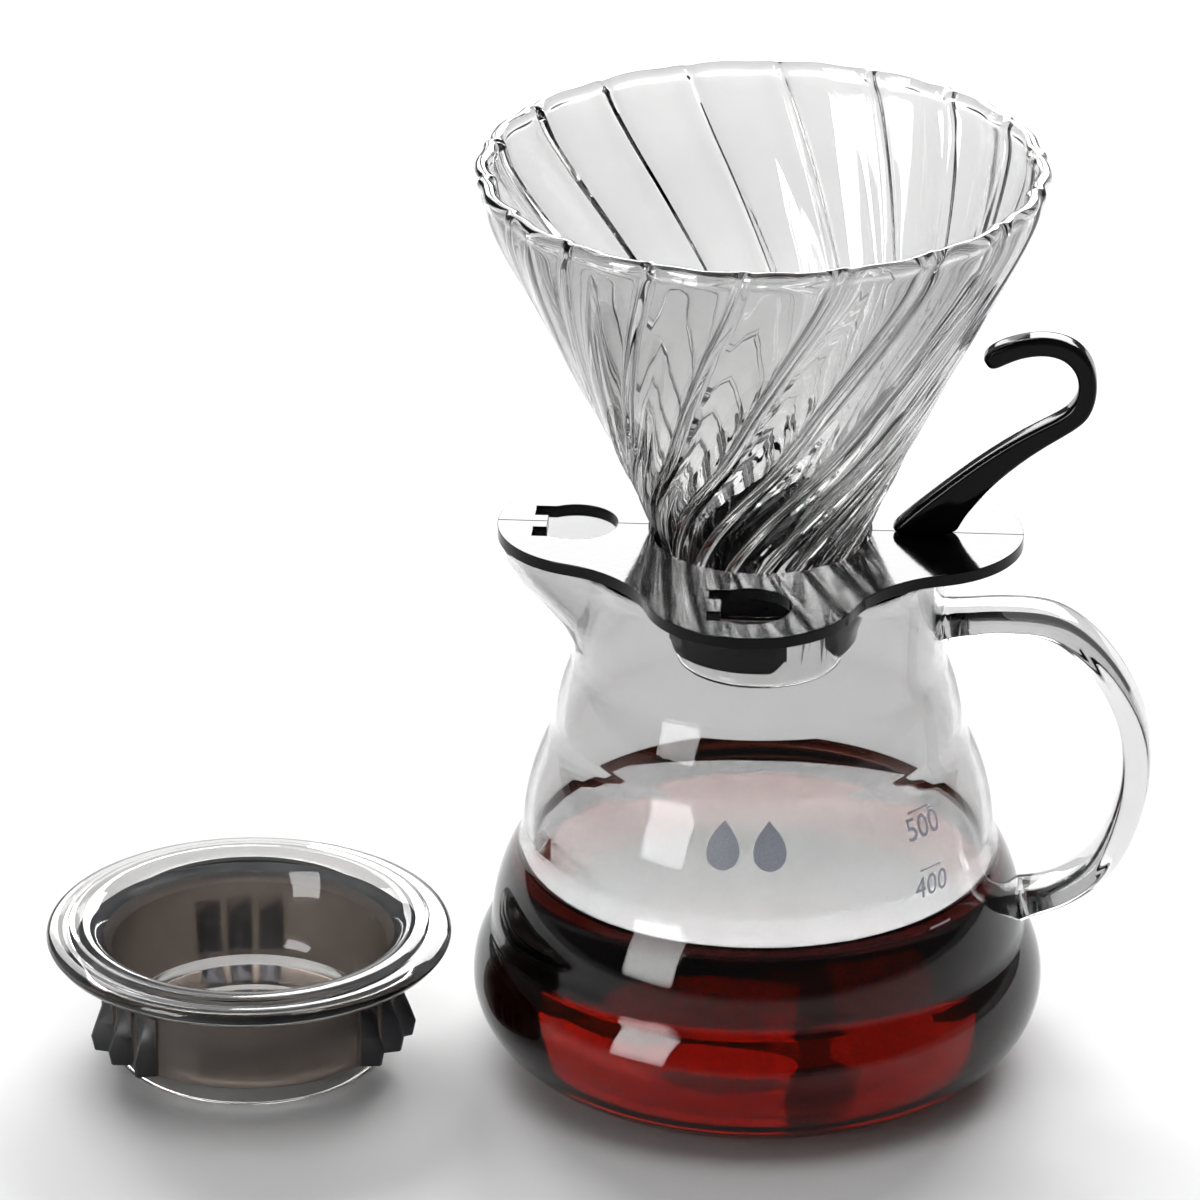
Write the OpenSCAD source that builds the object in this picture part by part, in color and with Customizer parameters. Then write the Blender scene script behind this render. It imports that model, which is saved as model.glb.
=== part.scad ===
// Pour over coffee set: a ribbed glass cone in a lobed holder with a hook handle,
// standing on a glass server with a strap handle, and the server's lid beside it.
// Frame: origin at the centre of the server's base, +Z up, +X towards both handles.

/* [Server] */
// Largest radius of the server, on its lowest bulge
server_r = 59.5; // [58:0.5:61]
// Height of the server's mouth above the table
server_h = 115.4; // [115:0.2:116]
// Outer radius of the neck
neck_r = 38.1; // [37.5:0.1:38.5]
// Thickness of the blown wall
wall_t = 1.8; // [1.4:0.1:2.2]
// Thickness of the server's floor
floor_t = 3; // [2:0.5:4]

/* [Server handle] */
// Width of the glass strap, across the handle
strap_w = 12.4; // [9:0.2:14]
// Thickness of the glass strap
strap_t = 6.2; // [4:0.2:7]

/* [Holder] */
// Thickness of the lobed plate
plate_t = 2.6; // [2:0.2:3]
// Distance from the axis to the tip of a lobe
lobe_reach = 54.2; // [52:0.2:56]
// Radius of a lobe's round end
lobe_r = 22; // [21:0.5:23]
// Distance from the axis to the waist between two lobes
waist_r = 39.1; // [38:0.1:40.5]
// Radius of the hole that the cone stands in
seat_r = 22.9; // [22.8:0.1:23.4]
// Radius of the round end of a window in a lobe
window_r = 8.6; // [7.5:0.1:9]
// Width of the hook handle, across the strap
hook_w = 5.6; // [5:0.2:8]

/* [Cone] */
// Outer radius of the cone's rim
rim_r = 58.8; // [58:0.2:59.4]
// Height of the cone's rim above the table
rim_z = 199; // [198:0.1:200]
// Number of spiral ribs
rib_n = 18; // [12:1:24]
// Depth of the creases between two panels of the cone
rib_depth = 1.4; // [0.8:0.1:2]
// Thickness of the cone's wall
cone_t = 2.3; // [1.8:0.1:2.6]

/* [Lid] */
// Outer radius of the lid's flange
flange_r = 42.4; // [41:0.2:44]
// Height of the lid
lid_h = 29.4; // [28.5:0.1:30]
// Outer radius of the gripping band round the lid
band_r = 31.2; // [30.6:0.1:32]
// Distance from the lid's axis to the tip of a gripping fin
fin_reach = 35.6; // [34:0.2:36]

/* [Hidden] */

// Gap between pieces that lift off each other
lift_gap = 0.3;
plate_z = server_h + lift_gap;
plate_top = plate_z + plate_t;
// Where the lid lies on the table
lid_at = [-106, -9.5, 0];

// A smooth curve through the points P, with n steps from one point to the next
function between(a, b, c, d, t) =
    0.5 * (2 * b + (c - a) * t + (2 * a - 5 * b + 4 * c - d) * t * t
    + (3 * b - a - 3 * c + d) * t * t * t);
function smooth(P, n) = concat(
    [for (i = [0 : len(P) - 2], j = [0 : n - 1])
        between(P[max(i - 1, 0)], P[i], P[i + 1], P[min(i + 2, len(P) - 1)], j / n)],
    [P[len(P) - 1]]);

// An arc from p to q that bows out to the right of that direction by the height bow
function arc(p, q, bow, n = 10) =
    let (chord = norm(q - p), r = (chord * chord / 4 + bow * bow) / (2 * bow),
         side = [q.y - p.y, p.x - q.x] / chord,
         mid = (p + q) / 2 - side * (r - bow), half = asin(chord / (2 * r)),
         start = atan2(side.y, side.x) - half)
    [for (i = [0 : n]) mid + r * [cos(start + 2 * half * i / n), sin(start + 2 * half * i / n)]];

// ---- Server: four soft bulges, one above the other, under a straight neck ----

base_r = server_r - 20;
belly_z = 17;
// The creases between the bulges, and how far each bulge bows out
creases = [[55.6, 28.3], [49, 49], [42.3, 73.5], [neck_r, 90]];
bows = [1.6, 1.8, 0.95];
shoulder_r = 18.3;

// Outline of the server's side; t moves it inwards by the wall and up by the floor
function server_side(t, lift) = concat(
    [for (a = [-90 : 10 : 0])
        [base_r + (20 - t) * cos(a), belly_z + (belly_z - lift) * sin(a)]],
    [for (a = [6 : 6 : 36])
        [server_r - t - shoulder_r * (1 - cos(a)), belly_z + shoulder_r * sin(a)]],
    [for (i = [0 : len(bows) - 1], p = arc(creases[i], creases[i + 1], bows[i])) p - [t, 0]]);

// The pouring spout is a narrow cone that leans out of the neck
spout_z = 91;
spout_lean = 13;
spout_r = 11.5;
module spout(shrink) {
    translate([1.5 - neck_r, 0, spout_z])
        rotate([0, -spout_lean, 0])
            cylinder(r1 = 0.6, r2 = spout_r - shrink, h = 27, $fn = 48);
}

module server_glass() {
    inner = neck_r - wall_t;
    color("lightcyan", 0.35)
    difference() {
        union() {
            rotate_extrude($fn = 96)
                polygon(concat([[0, 0]], server_side(0, 0),
                    [[neck_r, 111], [neck_r + 0.7, 113.4], [neck_r + 0.6, server_h - 0.8],
                     [neck_r - 0.3, server_h], [0, server_h]]));
            intersection() {
                spout(0);
                translate([-neck_r - 30, -20, 0]) cube([60, 40, server_h]);
            }
        }
        rotate_extrude($fn = 96)
            polygon(concat([[0, floor_t]], server_side(wall_t, floor_t),
                [[inner, 92], [inner, server_h + 5], [0, server_h + 5]]));
        translate([0, 0, 1]) spout(wall_t);
    }
}

// ---- A tube with a rounded flat section, swept along a route in the XZ plane ----

function section(w, t, n) = [for (i = [0 : n - 1])
    let (c = cos(360 * i / n), s = sin(360 * i / n))
    [w / 2 * sign(c) * pow(abs(c), 0.75), t / 2 * sign(s) * pow(abs(s), 0.75)]];

module strap(route, w, t, sides = 12) {
    last = len(route) - 1;
    outline = section(w, t, sides);
    points = [for (i = [0 : last])
        let (d = route[min(i + 1, last)] - route[max(i - 1, 0)], n = [-d.y, d.x] / norm(d))
        for (s = outline) [route[i].x + n.x * s.y, s.x, route[i].y + n.y * s.y]];
    walls = [for (i = [0 : last - 1], j = [0 : sides - 1])
        let (k = (j + 1) % sides, a = i * sides)
        for (f = [[a + j, a + sides + j, a + sides + k], [a + j, a + sides + k, a + k]]) f];
    ends = [[for (j = [0 : sides - 1]) j],
            [for (j = [sides - 1 : -1 : 0]) last * sides + j]];
    polyhedron(points, concat(walls, ends));
}

handle_route = smooth([[36.9, 98.5], [50, 100], [61.6, 98.6], [70.9, 90.1], [77.4, 76.8],
                       [78, 62.2], [72.9, 46.9], [64.2, 38.6], [53.7, 34.9]], 4);

module server_handle() {
    color("lightcyan", 0.35) strap(handle_route, strap_w, strap_t);
}

// ---- Holder: a plate with four lobes, a collar under it and a hook handle on it ----

// Four lobe arcs, joined by hollow waist arcs that meet them without a corner
lobe_d = lobe_reach - lobe_r;
waist_d = (pow(lobe_d, 2) - pow(lobe_r - waist_r, 2))
        / (2 * (lobe_d * cos(45) + lobe_r - waist_r));
hollow_r = waist_d - waist_r;
waist_at = waist_d * [cos(45), sin(45)];
join_angle = atan2(waist_at.y, waist_at.x - lobe_d);

module clover() {
    lobe = [for (i = [-8 : 8])
        [lobe_d + lobe_r * cos(join_angle * i / 8), lobe_r * sin(join_angle * i / 8)]];
    turn = join_angle - 45;
    waist = [for (i = [7 : -1 : -7])
        waist_at - hollow_r * [cos(45 + turn * i / 8), sin(45 + turn * i / 8)]];
    outline = concat(lobe, waist);
    polygon([for (q = [0 : 3], p = outline)
        [p.x * cos(90 * q) - p.y * sin(90 * q), p.x * sin(90 * q) + p.y * cos(90 * q)]]);
}

// A window with one round end and a flat end that has a small tab in its middle
module window() {
    difference() {
        union() {
            intersection() {
                circle(window_r, $fn = 48);
                translate([-6.5, -10]) square([20, 20]);
            }
            translate([-window_r, -7.4]) square([5, 14.8]);
        }
        translate([-10, -3]) square([3.8, 6]);
    }
}
// Centres of the windows: in the lobes at -X, -Y and +Y
window_at = [[-38, 0], [0, -38.8], [0, 38.8]];

module holder_plate() {
    color("black")
    difference() {
        translate([0, 0, plate_z]) linear_extrude(plate_t) clover();
        translate([0, 0, plate_z - 1]) cylinder(r = seat_r, h = plate_t + 2, $fn = 96);
        for (p = window_at)
            translate([p.x, p.y, plate_z - 1]) linear_extrude(plate_t + 2) window();
    }
}

// The collar follows the cone down to its neck, and ends in three fingers
finger_z = 94.3;
finger_root_z = 104;
finger_gaps = [[-72, -40], [40, 88], [168, 208]];

module holder_collar() {
    color("black")
    difference() {
        rotate_extrude($fn = 96)
            polygon([[22, plate_z], [18.5, 105.6], [17.9, finger_root_z], [17.9, finger_z],
                     [19.4, finger_z], [20.2, 95.3], [20.2, 105], [24.6, plate_z]]);
        for (g = finger_gaps)
            translate([0, 0, finger_z - 1])
                linear_extrude(finger_root_z - finger_z + 1)
                    polygon([[0, 0], 40 * [cos(g[0]), sin(g[0])],
                             60 * [cos((g[0] + g[1]) / 2), sin((g[0] + g[1]) / 2)],
                             40 * [cos(g[1]), sin(g[1])]]);
    }
}

// The hook's two edges, from its foot on the plate to its tip
hook_upper = [[25.5, plate_top], [32.5, 125], [41.5, 132.7], [52.5, 140.8], [60.5, 145.2],
              [64, 148.6], [64.9, 152.5], [63, 157], [58, 159.1], [52.5, 158.1], [48.4, 156.1]];
hook_lower = [[39.8, plate_top], [43.5, 124.6], [51.3, 133.3], [61.5, 141.1], [66.4, 144.6],
              [68.5, 149.8], [68.2, 156], [65.3, 161.2], [60, 163.2], [53.5, 162.7],
              [48, 160.7], [45.6, 158.4], [46.4, 156.2]];

module hook_handle() {
    edge = smooth(hook_upper, 4);
    back = smooth(hook_lower, 4);
    color("black")
    translate([0, hook_w / 2, 0])
        rotate([90, 0, 0])
            linear_extrude(hook_w)
                polygon(concat(edge, [for (i = [len(back) - 1 : -1 : 0]) back[i]]));
}

// ---- Cone: panels that bow outwards between creases that turn as they go down ----

neck_z = 89.5;
cone_outline = smooth([[17.4, neck_z], [17.2, 96], [17.7, 104], [19.7, 112], [22.3, 118.6],
                       [26.4, 128], [32.4, 141], [39.4, 155], [46.5, 169], [53.7, 183],
                       [57.3, 191.4], [rim_r, rim_z]], 2);
// How far the creases have turned from where they are at the rim: [height, degrees]
crease_turns = [[neck_z, -106], [104, -95], [112, -84], [118.6, -74], [128, -58.5],
                [135, -47], [144, -33], [153, -24.5], [160, -19.8], [167, -15.2],
                [176, -10.2], [186, -5.2], [rim_z, 0]];
front_crease = -90;
cone_columns = rib_n * 3;

// The creases fade out on the neck and soften at the rim
function crease(p) = rib_depth * min(1, max(0, (p.y - 106) / 16)) * (p.y > 190 ? 0.7 : 1);
function cone_ring(p, inset) = [for (j = [0 : cone_columns - 1])
    let (a = 360 * j / cone_columns, turn = lookup(p.y, crease_turns),
         r = p.x - inset - crease(p) * (1 - abs(sin(a * rib_n / 2))))
    [r * cos(a + front_crease + turn), r * sin(a + front_crease + turn), p.y]];

module cone_glass() {
    n = len(cone_outline);
    rings = concat([for (p = cone_outline) cone_ring(p, 0)],
                   [for (i = [n - 1 : -1 : 0]) cone_ring(cone_outline[i], cone_t)]);
    count = len(rings);
    points = [for (ring = rings, p = ring) p];
    faces = [for (i = [0 : count - 1], j = [0 : cone_columns - 1])
        let (a = i * cone_columns, b = ((i + 1) % count) * cone_columns,
             k = (j + 1) % cone_columns)
        for (f = [[a + j, b + j, b + k], [a + j, b + k, a + k]]) f];
    color("aliceblue", 0.35) polyhedron(points, faces);
}

// ---- Lid: a shallow glass bowl with a flange, and a gripping band round it ----

band_low = 5.2;
band_top = 23.4;
// The band ends in a thin lip under the flange
lip_r = 35.4;
lip_t = 0.9;

module lid_glass() {
    color("whitesmoke", 0.35)
    translate(lid_at)
        difference() {
            rotate_extrude($fn = 96)
                polygon([[0, 0], [27.8, 0], [28.8, 1], [28.8, band_low], [28.2, band_low],
                         [29.2, band_top], [30.6, lid_h - 5], [41, lid_h - 4.6],
                         [flange_r - 0.2, lid_h - 3.6], [flange_r, lid_h - 2.4],
                         [flange_r - 1, lid_h - 1], [40, lid_h - 0.5], [36, lid_h], [0, lid_h]]);
            rotate_extrude($fn = 96)
                polygon([[0, 8.4], [21.4, 9], [23.2, 9.6], [24.4, 11], [26.8, 21.5],
                         [28, lid_h - 5], [30, lid_h - 2.6], [32.4, lid_h - 0.7],
                         [34, lid_h + 1], [0, lid_h + 1]]);
            rotate_extrude($fn = 96) polygon([[0, -1], [24.8, -1], [23.6, 4.6], [0, 4.6]]);
        }
}

// Three groups of fins, with three fins in each
fin_groups = [-140, -20, 100];
fin_step = 13;

module lid_band() {
    color("dimgray")
    translate(lid_at) {
        difference() {
            rotate_extrude($fn = 96)
                polygon([[28, band_low], [band_r - 0.6, band_low], [band_r, band_low + 1],
                         [band_r, band_top - 0.4], [lip_r, band_top], [lip_r, band_top + lip_t],
                         [29, band_top + lip_t]]);
            rotate_extrude($fn = 96)
                polygon([[0, band_low - 1], [28.1, band_low - 1], [28.2, band_low],
                         [29.2, band_top], [30.6, band_top + lip_t],
                         [30.6, band_top + lip_t + 1], [0, band_top + lip_t + 1]]);
        }
        for (g = fin_groups, s = [-1 : 1])
            rotate([0, 0, g + s * fin_step])
                translate([0, 2.3, 0])
                    rotate([90, 0, 0])
                        linear_extrude(4.6)
                            polygon([[band_r - 0.5, band_top - 2], [band_r + 0.4, band_top - 2],
                                     [fin_reach, band_low + 3], [fin_reach - 0.6, band_low + 0.4],
                                     [band_r - 0.5, band_low + 0.4]]);
    }
}

server_glass();
server_handle();
holder_plate();
holder_collar();
hook_handle();
cone_glass();
lid_glass();
lid_band();
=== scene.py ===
# %% [markdown]
# # A pour over coffee set in glass and black plastic
# A ribbed glass cone stands in a black holder with a hook handle, and the holder stands on the mouth
# of a bulged glass server. The server's lid lies beside it. The lesson shows how to turn, loft and rib
# clear glass, and how to light it so that both the glass and the glossy black plastic read well.

# %% Load the frame
import math

import bmesh
import bpy
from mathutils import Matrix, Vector


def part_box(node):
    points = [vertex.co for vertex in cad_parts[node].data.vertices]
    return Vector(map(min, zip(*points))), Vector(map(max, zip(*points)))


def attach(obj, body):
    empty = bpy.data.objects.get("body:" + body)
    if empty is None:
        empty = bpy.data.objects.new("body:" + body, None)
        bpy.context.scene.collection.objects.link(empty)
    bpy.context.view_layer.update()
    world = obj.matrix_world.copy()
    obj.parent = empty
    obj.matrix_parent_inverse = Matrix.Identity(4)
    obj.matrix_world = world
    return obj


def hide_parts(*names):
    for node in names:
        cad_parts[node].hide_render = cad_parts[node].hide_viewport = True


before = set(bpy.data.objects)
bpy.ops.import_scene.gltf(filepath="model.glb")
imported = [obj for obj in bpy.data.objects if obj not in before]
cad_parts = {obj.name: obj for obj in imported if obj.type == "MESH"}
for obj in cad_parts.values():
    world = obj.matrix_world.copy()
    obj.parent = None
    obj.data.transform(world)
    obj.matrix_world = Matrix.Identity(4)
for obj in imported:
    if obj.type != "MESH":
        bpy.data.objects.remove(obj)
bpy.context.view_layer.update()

MM = 0.001

# %% [markdown]
# ## The camera
# A long lens far away keeps the rims as flat, calm ellipses. The camera is placed by its compass angle,
# its height angle and its distance from a point to aim at, so that each can be read and changed alone.

# %% Camera
AZIMUTH, ELEVATION, DISTANCE = math.radians(4.0), math.radians(24.84), 2.0927
AIM = Vector((-0.0348, 0.0250, 0.0891))


def direction(azimuth, elevation):
    """The way from the object towards a compass angle and a height angle, in radians."""
    flat = math.cos(elevation)
    return Vector((math.sin(azimuth) * flat, -math.cos(azimuth) * flat, math.sin(elevation)))


towards_camera = direction(AZIMUTH, ELEVATION)
bpy.ops.object.camera_add(location=AIM + towards_camera * DISTANCE)
camera = bpy.context.object
camera.rotation_euler = (-towards_camera).to_track_quat("-Z", "Y").to_euler()
camera.data.lens = 300
camera.data.sensor_width = 36
camera.data.clip_end = 50
bpy.context.scene.camera = camera

# %% [markdown]
# ## Working in edit mode from code
# An operator acts on whatever is selected, so each helper here starts by letting go of everything.
# Without a window Blender's rotate operator turns the other way, so `turn` gives it the negative angle
# and always says which point it turns about.

# %% Helpers for edit mode


def let_go():
    """Leaves edit mode and selects nothing."""
    if bpy.context.object and bpy.context.object.mode != "OBJECT":
        bpy.ops.object.mode_set(mode="OBJECT")
    bpy.ops.object.select_all(action="DESELECT")


def take(piece):
    """Makes a piece the active and only selected one, in object mode."""
    let_go()
    piece.select_set(True)
    bpy.context.view_layer.objects.active = piece


def work_on(piece, select="DESELECT"):
    """Opens a piece in edit mode with nothing selected, or everything for select="SELECT"."""
    take(piece)
    bpy.ops.object.mode_set(mode="EDIT")
    bpy.ops.mesh.select_mode(type="VERT")
    bpy.ops.mesh.select_all(action=select)


def pick(piece, wanted):
    """Selects the vertices whose place passes the test."""
    bpy.ops.mesh.select_all(action="DESELECT")
    mesh = bmesh.from_edit_mesh(piece.data)
    for v in mesh.verts:
        if wanted(v.co):
            v.select = True
    mesh.select_flush(True)
    bmesh.update_edit_mesh(piece.data)


def turn(degrees, axis, about):
    """Turns what is selected, anticlockwise as seen from the axis's far end."""
    bpy.ops.transform.rotate(value=-math.radians(degrees), orient_axis=axis, center_override=about)


def close_up():
    """Merges doubles and points every face outwards, on the piece that is open in edit mode."""
    bpy.ops.mesh.select_all(action="SELECT")
    bpy.ops.mesh.remove_doubles(threshold=1e-6)
    bpy.ops.mesh.normals_make_consistent(inside=False)
    bpy.ops.mesh.select_all(action="DESELECT")


def named(name):
    """Names the object that was just made, and its mesh."""
    piece = bpy.context.object
    piece.name = piece.data.name = name
    return piece


def add_modifier(piece, kind, **settings):
    """Adds a modifier and applies it at once, so that the piece's mesh is its final one."""
    take(piece)
    modifier = piece.modifiers.new(kind.title(), kind)
    for key, value in settings.items():
        setattr(modifier, key, value)
    bpy.ops.object.modifier_apply(modifier=modifier.name)


def smooth(piece, degrees):
    """Shades a piece smooth, but keeps edges sharp where its faces meet at more than the degrees."""
    take(piece)
    bpy.ops.object.shade_smooth_by_angle(angle=math.radians(degrees))
    print(f"{piece.name}: {len(piece.data.polygons)} faces")


# %% [markdown]
# ## Turned pieces
# Server, lid and band are round, so each is drawn as a half section and spun, as clay is turned on a
# wheel. A section is a list of (radius, height) points in millimetres. Curved stretches come from
# `arc` and `curve`, so the lists hold only the points that the shape needs.

# %% Sections and turning


def arc(start, end, bow, count=8):
    """Points on an arc from start to end that bows out by the height bow, to the right of the way."""
    a, b = Vector(start), Vector(end)
    along = b - a
    chord = along.length
    side = Vector((along.y, -along.x)) / chord
    radius = (chord * chord / 4 + bow * bow) / (2 * bow)
    centre = (a + b) / 2 - side * (radius - bow)
    half = math.asin(chord / (2 * radius))
    first = math.atan2(side.y, side.x) - half
    angles = [first + 2 * half * i / count for i in range(count + 1)]
    return [tuple(centre + radius * Vector((math.cos(t), math.sin(t)))) for t in angles]


def curve(points, count):
    """A smooth curve through the points, with count steps from each to the next."""
    out = []
    last = len(points) - 1
    for i in range(last):
        a, b, c, d = (Vector(points[min(max(k, 0), last)]) for k in (i - 1, i, i + 1, i + 2))
        for step in range(count):
            t = step / count
            cubic = (3 * b - a - 3 * c + d) * t * t * t
            out.append(tuple(0.5 * (2 * b + (c - a) * t + (2 * a - 5 * b + 4 * c - d) * t * t + cubic)))
    return out + [tuple(points[last])]


def turned(name, section, steps=144, centre=(0.0, 0.0)):
    """Draws the half section point by point, and spins it round the upright line through centre."""
    let_go()
    bpy.ops.mesh.primitive_plane_add(size=MM, location=(0, 0, 0))
    piece = named(name)
    bpy.ops.object.mode_set(mode="EDIT")
    bpy.ops.mesh.merge(type="CENTER")
    r, z = section[0]
    bpy.ops.transform.translate(value=(centre[0] + r * MM, centre[1], z * MM))
    for (r0, z0), (r1, z1) in zip(section, section[1:]):
        step = ((r1 - r0) * MM, 0, (z1 - z0) * MM)
        bpy.ops.mesh.extrude_region_move(TRANSFORM_OT_translate={"value": step})
    bpy.ops.mesh.select_all(action="SELECT")
    bpy.ops.mesh.spin(steps=steps, angle=2 * math.pi, center=(*centre, 0), axis=(0, 0, 1))
    close_up()
    return piece


# %% [markdown]
# ## The server
# The server is blown in one piece: four soft bulges, a straight neck and a pulled spout. Its section
# goes up the outside, over the rounded lip and down the inside, so the wall is closed from the start.

# %% Server body
SERVER_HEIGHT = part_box("server_glass")[1][2] / MM
SERVER_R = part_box("server_glass")[1][1] / MM
NECK_R = 38.1
WALL = 1.8
BELLY_R, BELLY_Z = 20, 17
BASE_R = SERVER_R - BELLY_R
CREASES = [(55.6, 28.3), (49, 49), (42.3, 73.5), (NECK_R, 90)]
BOWS = [1.6, 1.8, 0.95]
SHOULDER_R = 18.3
FLOOR = 3


def server_side(wall, floor):
    """The section of the four bulges, moved in by the wall and up by the floor."""
    out = []
    for degrees in range(-90, 1, 6):
        t = math.radians(degrees)
        out.append((BASE_R + (BELLY_R - wall) * math.cos(t), BELLY_Z + (BELLY_Z - floor) * math.sin(t)))
    for degrees in range(6, 37, 6):
        t = math.radians(degrees)
        out.append((SERVER_R - wall - SHOULDER_R * (1 - math.cos(t)), BELLY_Z + SHOULDER_R * math.sin(t)))
    for start, end, bow in zip(CREASES, CREASES[1:], BOWS):
        out += [(r - wall, z) for r, z in arc(start, end, bow)[:-1]]
    return out + [(NECK_R - wall, CREASES[-1][1])]


outside = server_side(0, 0)
inside = server_side(WALL, FLOOR)
neck = [(NECK_R, z) for z in (94, 98, 102, 106, 110, 112.5)]
lip = [(NECK_R + 0.5, 113.8), (NECK_R + 0.4, 114.9), (NECK_R - 0.3, SERVER_HEIGHT),
       (NECK_R - 1.2, 115.1), (NECK_R - WALL, 114.0)]
inner_neck = [(r - WALL, z) for r, z in reversed(neck)]
server_section = [(0, 0)] + outside + neck + lip + inner_neck + inside[::-1] + [(0, FLOOR)]
server = turned("server_body", server_section)

# %% [markdown]
# The glassmaker pulls the spout out of the hot neck with one stroke. Proportional editing does the
# same: one spot on the lip is moved, and the glass around it follows less and less.

# %% Spout
SPOUT_PULL, SPOUT_SPOT, SPOUT_SPREAD = 14.5 * MM, 4 * MM, 21 * MM
work_on(server)
tip = Vector((-NECK_R * MM, 0, SERVER_HEIGHT * MM))
pick(server, lambda p: (p - tip).length < SPOUT_SPOT)
bpy.ops.transform.translate(value=(-SPOUT_PULL, 0, 0), use_proportional_edit=True,
                            proportional_edit_falloff="SMOOTH", proportional_size=SPOUT_SPREAD)
let_go()
smooth(server, 60)
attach(server, "server")
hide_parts("server_glass")

# %% [markdown]
# ## Straps
# Both handles are straps: one section carried along a route. The section starts as a circle that is
# squared off towards a rounded rectangle. Each new ring is extruded, moved to its place, turned back
# flat, given its own thickness and width, and turned to face along the route.

# %% Loft a strap
SECTION_SIDES = 24


def square_off(power):
    """Pushes a unit circle's vertices out towards a rounded square."""
    piece = bpy.context.object
    for degrees in (15, 30, 45, 60, 75):
        t = math.radians(degrees)
        out = (math.cos(t) ** power + math.sin(t) ** power) ** (-1 / power)
        side = math.tan(t)
        pick(piece, lambda p: abs(p.x) > 1e-9 and abs(abs(p.y / p.x) - side) < 0.02 * side)
        bpy.ops.transform.resize(value=(out, out, 1), center_override=(0, 0, 0))
    bpy.ops.mesh.select_all(action="SELECT")


def strap(name, stations, power):
    """Each station is (x, z, thickness, width, angle of the thickness above the X axis)."""
    let_go()
    bpy.ops.mesh.primitive_circle_add(vertices=SECTION_SIDES, radius=0.5 * MM, location=(0, 0, 0))
    piece = named(name)
    bpy.ops.object.mode_set(mode="EDIT")
    square_off(power)
    place, thick, wide, tilt = Vector((0, 0, 0)), 1, 1, 0
    for number, (x, z, new_thick, new_wide, new_tilt) in enumerate(stations):
        target = Vector((x * MM, 0, z * MM))
        if number:
            bpy.ops.mesh.extrude_region_move(TRANSFORM_OT_translate={"value": target - place})
        else:
            bpy.ops.transform.translate(value=target)
        turn(tilt, "Y", target)
        bpy.ops.transform.resize(value=(new_thick / thick, new_wide / wide, 1), center_override=target)
        turn(-new_tilt, "Y", target)
        if not number:
            bpy.ops.mesh.edge_face_add()
        place, thick, wide, tilt = target, new_thick, new_wide, new_tilt
    bpy.ops.mesh.edge_face_add()
    close_up()
    return piece


def stations_along(route, thick, wide):
    """Stations on a route of (x, z) points, with the thickness across the way."""
    out = []
    for i, (x, z) in enumerate(route):
        before, after = route[max(i - 1, 0)], route[min(i + 1, len(route) - 1)]
        tilt = math.degrees(math.atan2(before[0] - after[0], after[1] - before[1]))
        out.append([x, z, thick, wide, tilt])
    for i in range(1, len(out)):
        while out[i][4] - out[i - 1][4] > 180:
            out[i][4] -= 360
        while out[i][4] - out[i - 1][4] < -180:
            out[i][4] += 360
    return out


# %% [markdown]
# ## The server's handle
# A solid glass strap, pressed onto the wall while both are hot, so it swells where it meets the wall.

# %% Server handle
HANDLE_ROUTE = [(36.9, 98.6), (50, 100), (61.6, 98.6), (70.9, 90.1), (77.4, 76.8), (78, 62.2),
                (72.9, 46.9), (64.2, 38.6), (53.7, 34.9)]
STRAP_WIDE, STRAP_THICK = 12.4, 6.2
stations = stations_along(curve(HANDLE_ROUTE, 5), STRAP_THICK, STRAP_WIDE)
for nearness, swell in enumerate((1.25, 1.14, 1.04)):
    for station in (stations[nearness], stations[-1 - nearness]):
        station[2] *= swell
        station[3] *= 1 + (swell - 1) * 0.6
handle = strap("server_strap", stations, 3)
add_modifier(handle, "SUBSURF", levels=1, render_levels=1)
smooth(handle, 60)
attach(handle, "server")
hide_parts("server_handle")

# %% [markdown]
# ## The coffee
# The coffee fills the lower bulges. Its side lies a hair inside the glass wall: where two clear bodies
# overlap by a hair, light bends as it does where they touch, and no false mirror of air shows. Its
# edge creeps up the glass a little, as a wet edge does.

# %% Coffee
COFFEE_Z = 45
BITE = 0.15
CREEP = [(0, 1.6), (-0.5, 0.8), (-1.4, 0.25), (-3, 0)]
wetted = [(r + BITE, z) for r, z in inside if z < COFFEE_Z - 0.4]
edge_r = wetted[-1][0] + (wetted[-1][0] - wetted[-2][0]) * 0.3
meniscus = [(edge_r + out, COFFEE_Z + up) for out, up in CREEP]
coffee = turned("coffee", [(0, FLOOR - BITE)] + wetted + meniscus + [(0, COFFEE_Z)])
let_go()
smooth(coffee, 50)
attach(coffee, "server")

# %% [markdown]
# ## The holder's plate
# The plate is a clover with four lobes. A circle has its vertices drawn in or out, class by class, by
# how far their angle is from a lobe's axis. The seat and the windows are cut by boolean modifiers. A
# window is a disc with one flat end, and a small tab stands in the middle of that end. One bevel rounds
# every edge, which gives the dark plate its thin bright lines. A fine seam from the mould runs along
# the middle of the left and right lobes.

# %% Clover outline
PLATE_LOW, PLATE_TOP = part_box("holder_plate")[0][2] / MM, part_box("holder_plate")[1][2] / MM
LOBE_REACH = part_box("holder_plate")[1][0] / MM
LOBE_R, WAIST_R, SEAT_R = 22, 39.1, 22.9
LOBE_D = LOBE_REACH - LOBE_R
COS_45 = math.cos(math.radians(45))
WAIST_D = (LOBE_D ** 2 - (LOBE_R - WAIST_R) ** 2) / (2 * (LOBE_D * COS_45 + LOBE_R - WAIST_R))
HOLLOW_R = WAIST_D - WAIST_R
JOIN = math.atan2(WAIST_D * COS_45, WAIST_D * COS_45 - LOBE_D)


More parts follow.
